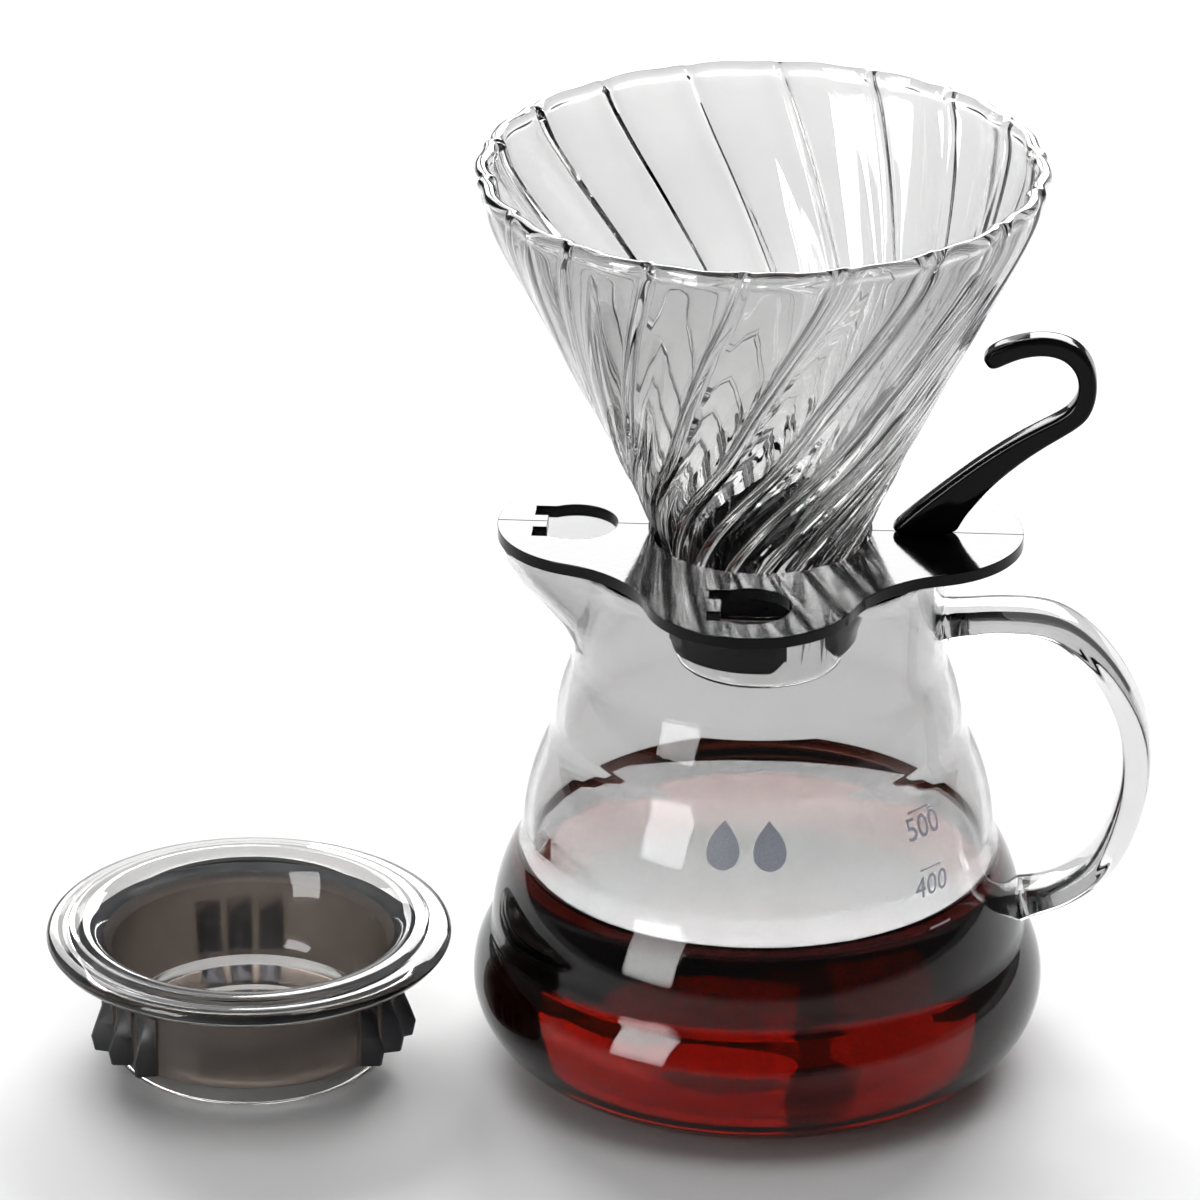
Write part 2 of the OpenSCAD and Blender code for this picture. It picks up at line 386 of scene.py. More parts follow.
def clover_radius(degrees):
    """Distance from the axis to the plate's edge, at an angle from the nearest lobe's axis."""
    t = math.radians(degrees)
    lobe_end = math.atan2(LOBE_R * math.sin(JOIN), LOBE_D + LOBE_R * math.cos(JOIN))
    if t <= lobe_end:
        return LOBE_D * math.cos(t) + math.sqrt(LOBE_R ** 2 - (LOBE_D * math.sin(t)) ** 2)
    t = math.radians(45) - t
    return WAIST_D * math.cos(t) - math.sqrt(HOLLOW_R ** 2 - (WAIST_D * math.sin(t)) ** 2)


CLOVER_STEP = 1.5
let_go()
bpy.ops.mesh.primitive_circle_add(vertices=round(360 / CLOVER_STEP), radius=LOBE_REACH * MM,
                                  location=(0, 0, PLATE_LOW * MM))
plate = named("lobed_plate")
bpy.ops.object.transform_apply(location=True, rotation=False, scale=False)
work_on(plate)


def from_lobe(p):
    """How far a place's angle is from the nearest lobe's axis, in degrees."""
    degrees = math.degrees(math.atan2(p.y, p.x)) % 90
    return min(degrees, 90 - degrees)


for number in range(round(45 / CLOVER_STEP) + 1):
    degrees = number * CLOVER_STEP
    pick(plate, lambda p: abs(from_lobe(p) - degrees) < 0.1)
    scale = clover_radius(degrees) / LOBE_REACH
    bpy.ops.transform.resize(value=(scale, scale, 1), center_override=(0, 0, PLATE_LOW * MM))
bpy.ops.mesh.select_all(action="SELECT")
bpy.ops.mesh.edge_face_add()
bpy.ops.mesh.extrude_region_move(TRANSFORM_OT_translate={"value": (0, 0, (PLATE_TOP - PLATE_LOW) * MM)})
close_up()

# %% Seat and windows
WINDOW_R = 8.6
WINDOWS = [(-38, 0), (0, -38.8), (0, 38.8)]
THROUGH = 10
SEAM_WIDE, SEAM_DEEP = 0.32, 0.25


def cutter(kind, size, place, vertices=72):
    """A block or a cylinder that boolean modifiers cut with. Size and place are in millimetres."""
    let_go()
    where = [v * MM for v in place]
    if kind == "cylinder":
        bpy.ops.mesh.primitive_cylinder_add(vertices=vertices, radius=size[0] * MM, depth=size[1] * MM,
                                            location=where)
    else:
        bpy.ops.mesh.primitive_cube_add(size=MM, location=where)
        bpy.ops.transform.resize(value=size)
    tool = bpy.context.object
    bpy.ops.object.transform_apply(location=True, rotation=True, scale=True)
    return tool


def cut(piece, tool, operation="DIFFERENCE"):
    """Cuts a tool out of a piece, or joins it on with "UNION", and removes the tool."""
    add_modifier(piece, "BOOLEAN", object=tool, operation=operation, solver="EXACT")
    bpy.data.objects.remove(tool)


middle = (PLATE_LOW + PLATE_TOP) / 2
cut(plate, cutter("cylinder", (SEAT_R, THROUGH), (0, 0, middle), 144))
for x, y in WINDOWS:
    window = cutter("cylinder", (WINDOW_R, THROUGH), (x, y, middle))
    cut(window, cutter("cube", (4, 20, 2 * THROUGH), (x - WINDOW_R, y, middle)))
    cut(window, cutter("cube", (5, 14.8, THROUGH), (x - WINDOW_R + 2.5, y, middle)), "UNION")
    cut(window, cutter("cube", (3.8, 6, 2 * THROUGH), (x - WINDOW_R + 0.9, y, middle)))
    cut(plate, window)
add_modifier(plate, "BEVEL", width=0.9 * MM, segments=4, limit_method="ANGLE",
             angle_limit=math.radians(50))
for side in (-1, 1):
    cut(plate, cutter("cube", (LOBE_REACH - SEAT_R + 2, SEAM_WIDE, 2 * SEAM_DEEP),
                      (side * (LOBE_REACH + SEAT_R) / 2, 0, PLATE_TOP)))
smooth(plate, 35)
add_modifier(plate, "WEIGHTED_NORMAL", mode="FACE_AREA", weight=50, keep_sharp=True)
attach(plate, "holder")
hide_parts("holder_plate")

# %% [markdown]
# ## The collar
# Under the plate a collar follows the cone down to its neck and ends in three springy fingers. It is
# turned as a whole ring. Blocks cut the gaps between the fingers, and small blocks stood on one edge
# cut the corners off their tips.

# %% Collar and fingers
FINGER_Z, FINGER_ROOT_Z = 94.3, 104
FINGER_GAPS = [(-72, -40), (40, 88), (168, 208)]
FINGER_R, CORNER_CUT = 19, 4.2
collar = turned("neck_collar", [(22, PLATE_LOW), (18.5, 105.6), (17.9, FINGER_ROOT_Z), (17.9, 95.0),
                                (18.3, FINGER_Z), (19.6, FINGER_Z), (20.2, 95.2), (20.2, 105),
                                (21.2, 107.6), (24.6, PLATE_LOW), (22, PLATE_LOW)], 120)
for first, last in FINGER_GAPS:
    across = 2 * FINGER_R * math.sin(math.radians(last - first) / 2)
    height = FINGER_ROOT_Z - FINGER_Z + 1
    gap = cutter("cube", (20, across, height), (20, 0, FINGER_ROOT_Z - height / 2))
    work_on(gap, "SELECT")
    turn((first + last) / 2, "Z", (0, 0, 0))
    let_go()
    cut(collar, gap)
    for end in (first, last):
        corner = cutter("cube", (8, CORNER_CUT, CORNER_CUT), (0, 0, 0))
        work_on(corner, "SELECT")
        turn(45, "X", (0, 0, 0))
        bpy.ops.transform.translate(value=(FINGER_R * MM, 0, FINGER_Z * MM))
        turn(end, "Z", (0, 0, 0))
        let_go()
        cut(collar, corner)
add_modifier(collar, "BEVEL", width=0.35 * MM, segments=2, limit_method="ANGLE",
             angle_limit=math.radians(50))
smooth(collar, 35)
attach(collar, "holder")
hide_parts("holder_collar")

# %% [markdown]
# ## The hook handle
# The hook rises from one lobe, thick at its foot and thin at its loop. Its stations are given by the
# two edges of the strap as seen from the side, and each pair of edge points makes one ring. One more,
# smaller ring rounds the tip.

# %% Hook
HOOK_WIDE = 5.6
HOOK_EDGES = [
    ((25.5, 118.2), (39.8, 118.2)), ((28.9, 121.6), (41.0, 120.4)), ((32.5, 125), (42.1, 122.6)),
    ((36.8, 128.7), (43.9, 125)), ((41.5, 132.7), (46.6, 128.6)), ((47, 137), (51.0, 133.0)),
    ((52.5, 140.8), (55.9, 137.1)), ((57.5, 143.7), (60.7, 140.4)), ((61, 145.7), (64.7, 143.1)),
    ((63.2, 147.6), (67.1, 145.4)), ((64.4, 150), (68.4, 149)), ((64.8, 152.8), (68.7, 153.3)),
    ((64.1, 155.4), (67.7, 157.5)), ((62.4, 157.6), (65.2, 161.0)), ((60, 158.8), (61.2, 162.9)),
    ((57, 159.1), (56.8, 163.2)), ((53.5, 158.5), (52.8, 162.6)), ((50.6, 157.3), (49.1, 161.3)),
    ((48.6, 156.2), (46.8, 160.0)), ((47.5, 155.9), (45.6, 158.8)),
]
hook_stations = []
for upper, lower in HOOK_EDGES:
    across = Vector(lower) - Vector(upper)
    tilt = math.degrees(math.atan2(across.y, across.x))
    if hook_stations and tilt - hook_stations[-1][4] < -180:
        tilt += 360
    hook_stations.append([(upper[0] + lower[0]) / 2, (upper[1] + lower[1]) / 2, across.length,
                          HOOK_WIDE, tilt])
x, z, thick, wide, tilt = hook_stations[-1]
hook_stations.append([x - 0.9, z - 0.6, thick * 0.6, wide * 0.7, tilt])
hook = strap("hook_strap", hook_stations, 6)
add_modifier(hook, "SUBSURF", levels=2, render_levels=2)
smooth(hook, 60)
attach(hook, "holder")
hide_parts("hook_handle")

# %% [markdown]
# ## The cone
# The cone is pressed with spiral creases that guide the water. All its panels are alike, so one panel
# is modelled and copied round. The panel starts as a short row of vertices at the neck. The row is
# carried up the outside, over the rounded rim and down the inside. Each new row is widened, its
# creased ends are drawn in, and the row is turned a little, so that the mesh follows the spiral. On
# the inside the crease stands up as a narrow rib. There the wall is thicker, and that draws the sharp
# dark and bright lines.

# %% Section of the cone
RIBS = 18
RIM_R, RIM_Z = 58.8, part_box("cone_glass")[1][2] / MM
NECK_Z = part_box("cone_glass")[0][2] / MM
CONE_WALL, BEAD_R = 2.2, 1.6
BEAD_Z = RIM_Z - BEAD_R
FRONT_CREASE = -90
crease_turns = curve([(NECK_Z, -106), (104, -95), (112, -84), (118.6, -74), (128, -58.5), (135, -47),
                      (144, -33), (153, -24.5), (160, -19.8), (167, -15.2), (176, -10.2), (186, -5.2),
                      (RIM_Z, 0)], 8)
cone_outside = curve([(17.4, NECK_Z + 0.6), (17.2, 96), (17.7, 104), (19.7, 112), (22.3, 118.6),
                      (26.4, 128), (32.4, 141), (39.4, 155), (46.5, 169), (53.7, 183), (57.3, 191.4),
                      (RIM_R - 0.75, BEAD_Z - 1.8)], 3)
bead = []
for degrees in range(-35, 216, 25):
    t = math.radians(degrees)
    bead.append((RIM_R - BEAD_R + BEAD_R * math.cos(t), BEAD_Z + BEAD_R * math.sin(t)))
cone_inside = []
for below, at, above in zip(cone_outside, cone_outside[1:], cone_outside[2:]):
    slope = (above[0] - below[0]) / (above[1] - below[1])
    cone_inside.append((at[0] - CONE_WALL * math.sqrt(1 + slope * slope), at[1]))
neck_end = [(15.2, NECK_Z + 0.6), (16.3, NECK_Z), (17.4, NECK_Z + 0.6)]
cone_section = cone_outside + bead + cone_inside[::-1] + neck_end


def crease_turn(z):
    """How far the creases have turned at a height, in degrees."""
    for (z0, turn0), (z1, turn1) in zip(crease_turns, crease_turns[1:]):
        if z <= z1:
            return turn0 + (turn1 - turn0) * (z - z0) / (z1 - z0)
    return 0


def ramp(value, low, high):
    """0 up to low, 1 from high on, and a straight rise between."""
    return min(1, max(0, (value - low) / (high - low)))


# %% One panel, carried up and over
PANEL_ANGLES = (0, 1.1, 2.6, 5.8, 10, 14.2, 17.4, 18.9, 20)
BOW_SHARES = (1, 0.82, 0.6, 0.21, 0)
RIB_SHARES = (1, 0.42, 0.04, 0, 0)
BOW_DEPTH, RIB_DEPTH, GROOVE_DEPTH = 1.15, 1.7, 0.3


def stands_at(row, column):
    """The radius of a vertex: the section's, less what its column is drawn in at that height."""
    r, z = cone_section[row]
    bow = BOW_DEPTH * (0.2 + 0.8 * ramp(z, 104, 122)) * ramp(z, NECK_Z + 1, 104)
    if row < len(cone_outside) + len(bead) // 2:
        rib = GROOVE_DEPTH * ramp(z, 106, 120)
    else:
        rib = RIB_DEPTH * ramp(z, 92, 106) * (1 - 0.8 * ramp(z, RIM_Z - 3.2, RIM_Z))
    return r - bow * BOW_SHARES[column] - rib * RIB_SHARES[column]


def pick_numbers(piece, numbers):
    """Selects vertices by number, which is the order in which they were made."""
    bpy.ops.mesh.select_all(action="DESELECT")
    mesh = bmesh.from_edit_mesh(piece.data)
    mesh.verts.ensure_lookup_table()
    for number in numbers:
        mesh.verts[number].select = True
    mesh.select_flush(True)
    bmesh.update_edit_mesh(piece.data)


let_go()
bpy.ops.mesh.primitive_plane_add(size=MM, location=(0, 0, 0))
cone = named("ribbed_cone")
work_on(cone, "SELECT")
bpy.ops.mesh.merge(type="CENTER")
COLUMNS, last = len(PANEL_ANGLES), Vector((0, 0, 0))
z = cone_section[0][1]
for number, angle in enumerate(PANEL_ANGLES):
    t = math.radians(FRONT_CREASE + crease_turn(z) + angle)
    r = stands_at(0, min(number, COLUMNS - 1 - number))
    goal = Vector((r * math.cos(t), r * math.sin(t), z)) * MM
    if number:
        bpy.ops.mesh.extrude_region_move(TRANSFORM_OT_translate={"value": goal - last})
    else:
        bpy.ops.transform.translate(value=goal)
    last = goal
for row in range(1, len(cone_section)):
    old_z, z = cone_section[row - 1][1], cone_section[row][1]
    first = row * COLUMNS
    pick_numbers(cone, range(first - COLUMNS, first))
    bpy.ops.mesh.extrude_region_move(TRANSFORM_OT_translate={"value": (0, 0, (z - old_z) * MM)})
    turn(crease_turn(z) - crease_turn(old_z), "Z", (0, 0, 0))
    for column in range(COLUMNS // 2 + 1):
        pick_numbers(cone, {first + column, first + COLUMNS - 1 - column})
        widen = stands_at(row, column) / stands_at(row - 1, column)
        bpy.ops.transform.resize(value=(widen, widen, 1), center_override=(0, 0, z * MM))
print("one panel:", COLUMNS * len(cone_section), "vertices")

# %% All the panels
bpy.ops.mesh.select_all(action="SELECT")
bpy.ops.mesh.spin(steps=RIBS - 1, angle=math.radians(360 - 360 / RIBS), dupli=True,
                  center=(0, 0, 0), axis=(0, 0, 1))
close_up()
add_modifier(cone, "SUBSURF", levels=1, render_levels=1)
smooth(cone, 60)
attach(cone, "cone")
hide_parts("cone_glass")

# %% [markdown]
# ## The lid
# The lid is a thick glass dish with a wide flange. A smoky silicone band grips it round the outside,
# and groups of soft fins on the band hold it in the server's mouth.

# %% Lid glass
lid_low, lid_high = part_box("lid_glass")
LID = ((lid_low[0] + lid_high[0]) / 2, (lid_low[1] + lid_high[1]) / 2)
LID_H = lid_high[2] / MM
FLANGE_R = (lid_high[0] - lid_low[0]) / 2 / MM
foot = [(0, 4.6), (22.6, 4.6), (23.6, 4.2), (24.4, 0.6), (25.0, 0), (27.6, 0), (28.4, 0.4),
        (28.8, 1.2), (28.8, 4.8), (28.2, 5.3)]
flange = [(29.2, 23.4), (30.6, LID_H - 5), (FLANGE_R - 1.6, LID_H - 4.6)]
flange += curve([(FLANGE_R - 0.7, LID_H - 4.2), (FLANGE_R, LID_H - 3), (FLANGE_R - 0.5, LID_H - 1.7),
                 (FLANGE_R - 2, LID_H - 1.15), (39, LID_H - 1.05), (37.9, LID_H - 0.85),
                 (37.2, LID_H - 0.2), (36.2, LID_H), (34.2, LID_H), (33, LID_H - 0.35),
                 (31.8, LID_H - 1.3), (30.3, LID_H - 3.2), (28.7, 23.4), (27.5, 20), (25.7, 14),
                 (24.3, 10.8), (23, 9.5), (21.4, 9.1), (16, 8.6), (0, 8.4)], 3)
lid_section = foot + flange
lid = turned("lid_dish", lid_section, 144, LID)
let_go()
smooth(lid, 40)
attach(lid, "lid")
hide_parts("lid_glass")

# %% Band and fins
BAND_R = 31.2
BAND_LOW, BAND_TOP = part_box("lid_band")[0][2] / MM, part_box("lid_band")[1][2] / MM
HOLD = 0.12
LIP_R, LIP_T = 35.3, 0.9
FIN_HEIGHT, FIN_FOOT = 13, BAND_LOW + 0.4
FIN_REACHES, RIDGE_SHARE = (2.6, 3.3, 2.1, 0.7, -0.8), 0.12
FIN_GROUPS, FIN_STEP = (-140, -20, 100), 13
band_at = BAND_TOP - LIP_T
band = turned("grip_band", [(28.2 - HOLD, BAND_LOW), (BAND_R - 0.7, BAND_LOW),
                            (BAND_R - 0.2, BAND_LOW + 0.2), (BAND_R, BAND_LOW + 0.8),
                            (BAND_R, band_at - 0.4), (BAND_R + 0.4, band_at), (LIP_R - 0.3, band_at),
                            (LIP_R, band_at + 0.3), (LIP_R, BAND_TOP + 0.45), (30.6, BAND_TOP + 0.2),
                            (29.2 - HOLD, band_at), (28.2 - HOLD, BAND_LOW)], 144, LID)
let_go()


def fin():
    """One soft wedge, narrow at its ridge and standing out most near its foot."""
    wedge = cutter("cube", (2, 5.6, FIN_HEIGHT), (BAND_R, 0, FIN_FOOT + FIN_HEIGHT / 2))
    work_on(wedge, "SELECT")
    bpy.ops.mesh.subdivide(number_cuts=len(FIN_REACHES) - 2)
    for step, reach in enumerate(FIN_REACHES):
        at = (FIN_FOOT + FIN_HEIGHT * step / (len(FIN_REACHES) - 1)) * MM
        pick(wedge, lambda p: p.x > (BAND_R + 0.6) * MM and abs(p.z - at) < 1e-5)
        bpy.ops.transform.translate(value=(reach * MM, 0, 0))
        bpy.ops.transform.resize(value=(1, RIDGE_SHARE, 1), center_override=(0, 0, at))
    let_go()
    add_modifier(wedge, "BEVEL", width=0.2 * MM, segments=2, limit_method="ANGLE",
                 angle_limit=math.radians(40))
    return wedge


for group in FIN_GROUPS:
    for place in (-1, 0, 1):
        one = fin()
        work_on(one, "SELECT")
        turn(group + place * FIN_STEP, "Z", (0, 0, 0))
        bpy.ops.transform.translate(value=(LID[0], LID[1], 0))
        let_go()
        cut(band, one, "UNION")
smooth(band, 35)
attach(band, "lid")
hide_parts("lid_band")

# %% [markdown]
# ## Printed marks
# The glassmaker prints a mark and a scale on the server. Here the mark is a plain drop, and the scale
# is two numbers with ticks. Each is a flat mesh that stands before the glass. Then every vertex of it
# is cast straight in, and stops a hair before the wall.

# %% Marks
STANDS_OFF, MARK_LIFT = 80, 0.06
DROP_HEIGHT, DROP_AT, DROP_Z = 9.5, 6, 66
DROP_ROUND, DROP_PULL, DROP_SPREAD = 0.36, 0.28, 0.6
SCALE_HEIGHT, SCALE_AT, CAPITALS = 4.5, 50, 0.7


def on_glass(piece, degrees, z):
    """Stands a flat drawing up before the glass at an angle and height, and lays it on the wall."""
    work_on(piece, "SELECT")
    turn(90, "X", (0, 0, 0))
    bpy.ops.transform.translate(value=(0, -STANDS_OFF * MM, z * MM))
    turn(degrees, "Z", (0, 0, 0))
    let_go()
    outwards = direction(math.radians(degrees), 0)
    for v in piece.data.vertices:
        hit, place, normal, face = server.ray_cast(v.co, -outwards)
        if hit:
            v.co = place + outwards * MARK_LIFT * MM


def drop_shape(which):
    """A drop: a disc whose top is drawn up to a point."""
    let_go()
    height = DROP_HEIGHT * MM
    bpy.ops.mesh.primitive_circle_add(vertices=48, radius=height * DROP_ROUND, fill_type="TRIFAN",
                                      location=(0, 0, 0))
    piece = named(f"drop_mark_{which}")
    work_on(piece, "SELECT")
    bpy.ops.mesh.subdivide(number_cuts=5)
    pick(piece, lambda p: p.y > height * DROP_ROUND * 0.999)
    bpy.ops.transform.translate(value=(0, height * DROP_PULL, 0), use_proportional_edit=True,
                                proportional_edit_falloff="SHARP",
                                proportional_size=height * DROP_SPREAD)
    let_go()
    return piece


def numerals(text):
    """A number as a flat mesh, sliced both ways so that it can bend with the glass."""
    let_go()
    bpy.ops.object.text_add(location=(0, 0, 0))
    words = bpy.context.object
    words.data.body = text
    words.data.align_x = "CENTER"
    words.data.size = SCALE_HEIGHT * MM / CAPITALS
    words.data.resolution_u = 6
    bpy.ops.object.convert(target="MESH")
    piece = named(f"scale_{text}")
    work_on(piece, "SELECT")
    bpy.ops.mesh.remove_doubles(threshold=1e-7)
    for cuts in range(5):
        for axis in ((1, 0, 0), (0, 1, 0)):
            bpy.ops.mesh.select_all(action="SELECT")
            at = (cuts - 2) * SCALE_HEIGHT * 0.4 * MM
            bpy.ops.mesh.bisect(plane_co=(at, at + SCALE_HEIGHT * 0.5 * MM, 0), plane_no=axis)
    let_go()
    return piece


def tick(number):
    """One short line of the scale."""
    let_go()
    bpy.ops.mesh.primitive_plane_add(size=MM, location=(0, 0, 0))
    piece = named(f"scale_tick_{number}")
    work_on(piece, "SELECT")
    bpy.ops.transform.resize(value=(6, 0.35, 1))
    bpy.ops.mesh.subdivide(number_cuts=7)
    let_go()
    return piece


marks = [(drop_shape("left"), -DROP_AT, DROP_Z), (drop_shape("right"), DROP_AT, DROP_Z)]
for text, z in (("500", 63.6), ("400", 51.2)):
    marks.append((numerals(text), SCALE_AT, z))
for number, z in enumerate((69, 57, 45)):
    marks.append((tick(number), SCALE_AT, z))
for piece, degrees, z in marks:
    on_glass(piece, degrees, z)
    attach(piece, "server")
    print(piece.name, "at", degrees, "degrees,", z, "mm up")

# %% [markdown]
# ## Finishes
# A finish is a node tree. The two small classes below let it be written as plain sums: `Finish` adds
# nodes and joins them, and `Number` turns +, - and * into Math nodes.

# %% Shader maths


class Number:
    """An output socket in a finish: sums on it add Math nodes."""

    def __init__(self, finish, socket):
        self.finish, self.socket = finish, socket

    def maths(self, operation, *inputs):
        return self.finish.node("ShaderNodeMath", {"operation": operation}, dict(enumerate(inputs)))

    def __add__(self, other):
        return self.maths("ADD", self, other)

    def __sub__(self, other):
        return self.maths("SUBTRACT", self, other)

    def __rsub__(self, other):
        return self.maths("SUBTRACT", other, self)

    def __mul__(self, other):
        return self.maths("MULTIPLY", self, other)

    __radd__, __rmul__ = __add__, __mul__

    def between(self, low, high):
        """0 at low, 1 at high, and smooth between."""
        return self.finish.node("ShaderNodeMapRange", {"interpolation_type": "SMOOTHSTEP"},
                                {0: self, 1: low, 2: high})


class Finish:
    """A material with one Principled shader, whose constant sockets are set by name."""

    def __init__(self, name, **sockets):
        self.material = bpy.data.materials.new(name)
        self.material.use_nodes = True
        self.tree = self.material.node_tree
        self.shader = self.tree.nodes["Principled BSDF"]
        for key, value in sockets.items():
            self.shader.inputs[key.replace("_", " ")].default_value = value

    def give(self, socket, value):
        if isinstance(value, Number):
            self.tree.links.new(value.socket, socket)
        else:
            socket.default_value = value

    def node(self, kind, settings, inputs, output=0):
        made = self.tree.nodes.new(kind)
        for key, value in settings.items():
            setattr(made, key, value)
        for key, value in inputs.items():
            self.give(made.inputs[key], value)
        return Number(self, made.outputs[output])

    def place(self):
        return self.node("ShaderNodeTexCoord", {}, {}, "Object")

    def noise(self, scale, detail=2.0, stretch=(1, 1, 1)):
        at = self.node("ShaderNodeMapping", {}, {"Vector": self.place(), "Scale": stretch})
        return self.node("ShaderNodeTexNoise", {}, {"Vector": at, "Scale": scale, "Detail": detail})

    def blend(self, factor, first, second):
        return self.node("ShaderNodeMix", {"data_type": "RGBA"}, {0: factor, 6: first, 7: second}, 2)

    def bump(self, height, distance, strength=1.0):
        normal = self.node("ShaderNodeBump", {}, {"Height": height, "Distance": distance,
                                                  "Strength": strength})
        self.set(Normal=normal)

    def set(self, **sockets):
        for key, value in sockets.items():
            self.give(self.shader.inputs[key.replace("_", " ")], value)

    def on(self, *pieces):
        for piece in pieces:
            piece.data.materials.clear()
            piece.data.materials.append(self.material)
        print(self.material.name, "on", ", ".join(piece.name for piece in pieces))


# %% [markdown]
# ## Glass
# Clear glass is a shader that refracts and mirrors, with no colour of its own but a grey tint that
# comes once for each wall that the light goes through. A low specular tint dims what the server
# mirrors straight on, which would lie as a grey veil on the dark coffee. Blown glass is never quite
# even, so a broad, very low bump bends the reflections a little. The pressed cone has finer waves, and
# its tint deepens from its neck towards its rim.

# %% Glass finishes
blown = Finish("blown_glass", Transmission_Weight=1.0, IOR=1.47, Roughness=0.0,
               Specular_Tint=(0.25, 0.25, 0.25, 1))
smear = blown.noise(35).between(0.45, 0.75)
blown.set(Base_Color=blown.blend(smear, (0.655, 0.655, 0.655, 1), (0.63, 0.63, 0.63, 1)))
blown.bump(blown.noise(28, 1.0, (1, 1, 2.2)), 0.0003, 0.12)
blown.on(server, handle)

pressed = Finish("pressed_glass", Transmission_Weight=1.0, IOR=1.47, Roughness=0.0)
smear = pressed.noise(30).between(0.4, 0.8)
height = pressed.node("ShaderNodeSeparateXYZ", {}, {0: pressed.place()}, 2)
grey = pressed.blend(smear, (0.58, 0.58, 0.578, 1), (0.54, 0.54, 0.538, 1))
upper = height.between(125 * MM, 170 * MM)
pressed.set(Base_Color=pressed.blend(upper, (0.86, 0.86, 0.855, 1), grey))
pressed.bump(pressed.noise(70, 1.0), 0.0002, 0.12)
pressed.on(cone)

dish = Finish("dish_glass", Transmission_Weight=1.0, IOR=1.4, Roughness=0.0,
              Specular_Tint=(0.5, 0.5, 0.5, 1))
smear = dish.noise(40).between(0.45, 0.75)
dish.set(Base_Color=dish.blend(smear, (0.55, 0.545, 0.535, 1), (0.50, 0.495, 0.485, 1)))
dish.bump(dish.noise(60, 1.0), 0.0002, 0.12)
dish.on(lid)

# %% [markdown]
# ## Coffee
# Coffee is clear too, and its colour comes from depth: a volume takes the blue and green out of the
# light first, so thin edges glow red and deep places are nearly black. Its IOR is a little higher than
# water's, which brightens its flat top.

# %% Coffee finish
brew = Finish("brewed_coffee", Transmission_Weight=1.0, IOR=1.44, Roughness=0.0,
              Specular_Tint=(0.3, 0.3, 0.3, 1))
ripple = brew.noise(60, 2.0)
brew.set(Base_Color=brew.blend(ripple, (1.0, 0.97, 0.95, 1), (0.97, 0.93, 0.9, 1)))
depth = brew.tree.nodes.new("ShaderNodeVolumeAbsorption")
depth.inputs["Color"].default_value = (0.68, 0.2, 0.0, 1)
depth.inputs["Density"].default_value = 90
brew.tree.links.new(depth.outputs[0], brew.tree.nodes["Material Output"].inputs["Volume"])
brew.on(coffee)

# %% [markdown]
# ## Black plastic
# The holder is moulded in glossy black plastic. Its polish is not the same all over: a broad noise
# moves the roughness a little, and a fine, low bump keeps the reflections from looking like a mirror's.

# %% Plastic finish
gloss = Finish("gloss_black_plastic", Specular_IOR_Level=0.13, IOR=1.5)
handled = gloss.noise(45, 3.0).between(0.4, 0.7)
gloss.set(Base_Color=gloss.blend(handled, (0.003, 0.003, 0.0035, 1), (0.006, 0.006, 0.007, 1)),
          Roughness=handled * 0.05 + 0.06)
gloss.bump(gloss.noise(900, 2.0), 0.00002, 0.4)
gloss.on(plate, collar, hook)

# %% [markdown]
# ## Smoky silicone
# The lid's band is soft and slightly see-through, with the fine bloom of silicone that has been
# handled. The fins are the same silicone, but their base colour is painted nearly black as painted
# shade for the thick, shadowed fins.

# %% Silicone finish
silicone = Finish("smoky_silicone", IOR=1.41, Transmission_Weight=0.85, Specular_IOR_Level=0.4)
bloom = silicone.noise(120, 4.0).between(0.35, 0.75)
body = silicone.blend(bloom, (0.22, 0.183, 0.158, 1), (0.27, 0.225, 0.195, 1))
from_axis = silicone.node("ShaderNodeVectorMath", {"operation": "SUBTRACT"},
                          {0: silicone.place(), 1: (LID[0], LID[1], 0)})
flat = silicone.node("ShaderNodeVectorMath", {"operation": "MULTIPLY"}, {0: from_axis, 1: (1, 1, 0)})
reach = silicone.node("ShaderNodeVectorMath", {"operation": "LENGTH"}, {0: flat}, "Value")
# Painted shade: past the band's face, in the fins, the base colour is painted nearly black; the band
# keeps the silicone's own colour.
clear_of_fin_shade = 1 - reach.between((BAND_R + 0.1) * MM, (BAND_R + 0.9) * MM)
silicone.set(Base_Color=silicone.blend(clear_of_fin_shade, (0.018, 0.021, 0.03, 1), body),
             Roughness=bloom * 0.15 + 0.38)
silicone.bump(silicone.noise(1500, 2.0), 0.00003, 0.3)
silicone.on(band)

# %% Printed ink
ink = Finish("printed_ink", Roughness=0.6)
worn = ink.noise(2500, 2.0).between(0.3, 0.7)
ink.set(Base_Color=ink.blend(worn, (0.33, 0.35, 0.42, 1), (0.39, 0.41, 0.48, 1)))
ink.on(*[piece for piece, degrees, z in marks])

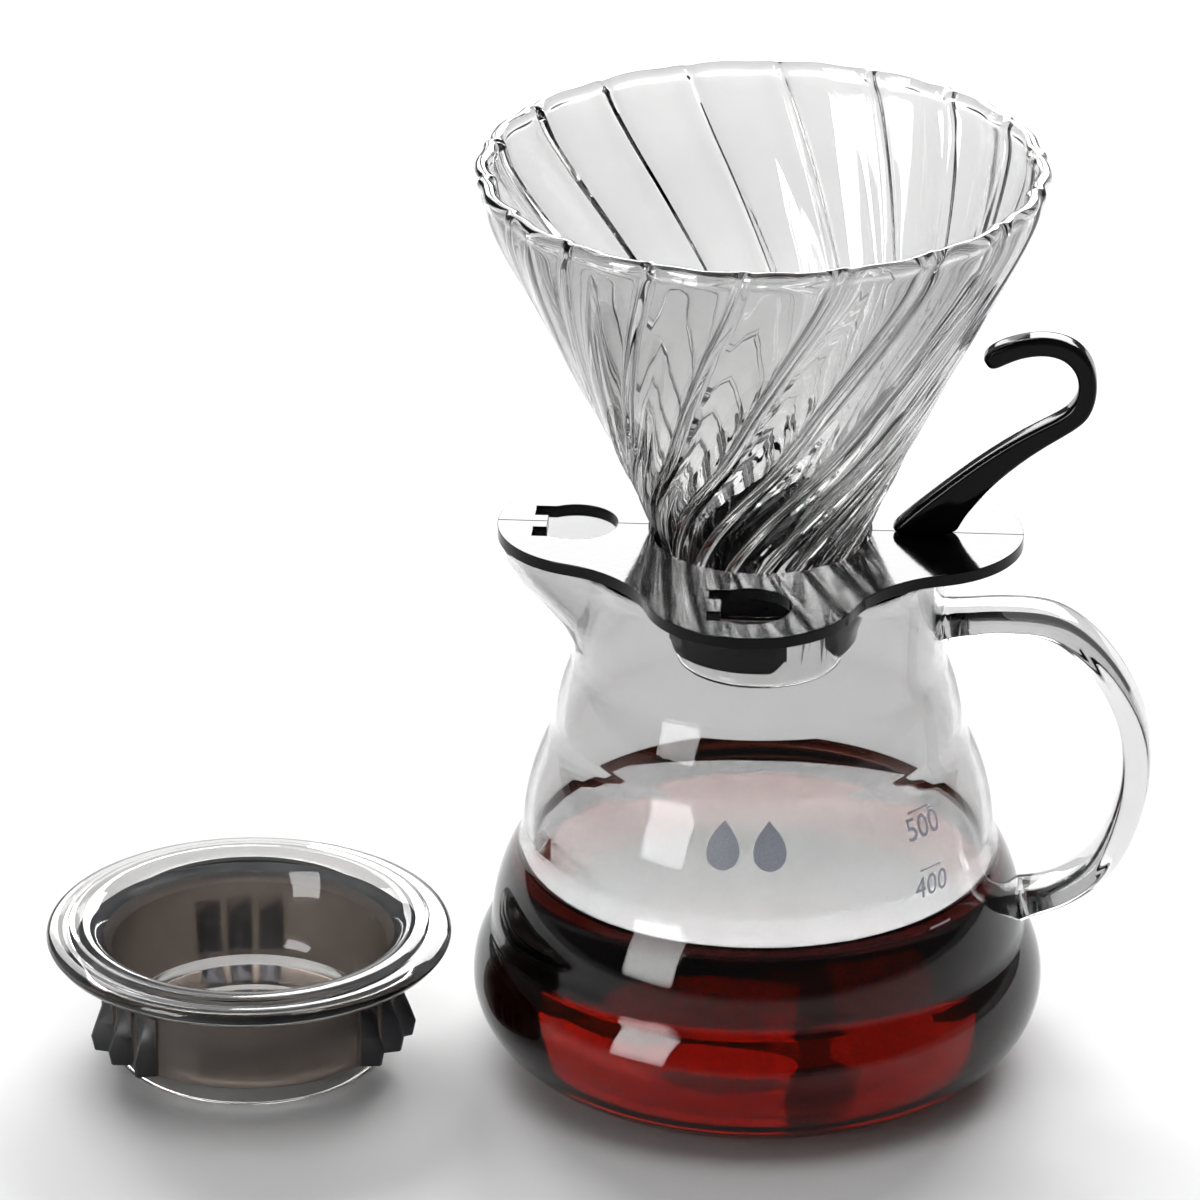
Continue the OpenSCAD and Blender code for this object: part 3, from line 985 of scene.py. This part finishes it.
# %% [markdown]
# ## Floor and light
# Glass is lit from behind: large pale panels give it a bright field, and the dim room gives its edges
# their dark lines. Flat glossy tops mirror the back panel. Two dim fillers carry the light on to the
# left panel. The gap between them lies where the lid's flat flange would mirror them, so the flange
# stays clear. A window-like light at the front left puts the white rectangles on the bulges. It is
# hidden from matt surfaces, so it shows in reflections and doesn't light the floor. A wide light
# overhead is hidden from reflections and from clear pieces, and only whitens the floor.

# %% Floor
let_go()
bpy.ops.mesh.primitive_plane_add(size=12, location=(0, 0, -0.0002))
floor = named("pale_floor")
paper = Finish("pale_paper", Roughness=0.9)
grain = paper.noise(3.0, 3.0)
paper.set(Base_Color=paper.blend(grain, (0.88, 0.88, 0.88, 1), (0.90, 0.90, 0.90, 1)))
paper.on(floor)

# %% Lights
world = bpy.data.worlds.new("dim_room")
bpy.context.scene.world = world
world.use_nodes = True
world.node_tree.nodes["Background"].inputs["Color"].default_value = (0.13, 0.13, 0.133, 1)
bpy.context.scene.view_settings.view_transform = "Standard"
LIGHT_AIM, LIGHT_DISTANCE = Vector((-0.02, 0, 0.08)), 3


def panel(name, azimuth, elevation, width_angle, height_angle, radiance):
    """A soft light that the object sees at two angles, under two angles, as bright as its radiance."""
    wide = 2 * LIGHT_DISTANCE * math.tan(math.radians(width_angle) / 2)
    high = 2 * LIGHT_DISTANCE * math.tan(math.radians(height_angle) / 2)
    way = direction(math.radians(azimuth), math.radians(elevation))
    bpy.ops.object.light_add(type="AREA", location=LIGHT_AIM + way * LIGHT_DISTANCE)
    light = bpy.context.object
    light.name = name
    light.rotation_euler = (-way).to_track_quat("-Z", "Y").to_euler()
    light.data.shape = "RECTANGLE"
    light.data.size, light.data.size_y = wide, high
    light.data.energy = radiance * math.pi * wide * high
    light.visible_camera = False
    print(f"{name}: {wide:.2f} by {high:.2f} m")
    return light


let_go()
panel("back_panel", 167.7, 26, 35.4, 20, 15.5)
panel("left_panel", 206, 28, 20, 34, 9)
panel("high_filler", 190.8, 37.5, 10.4, 17, 3)
panel("low_filler", 190.8, 17, 10.4, 10, 3)
window = panel("window", -44, 19, 23, 34, 22)
window.visible_diffuse = False
sky = panel("sky_panel", 0, 88, 50, 50, 1.6)
sky.visible_glossy = sky.visible_transmission = False
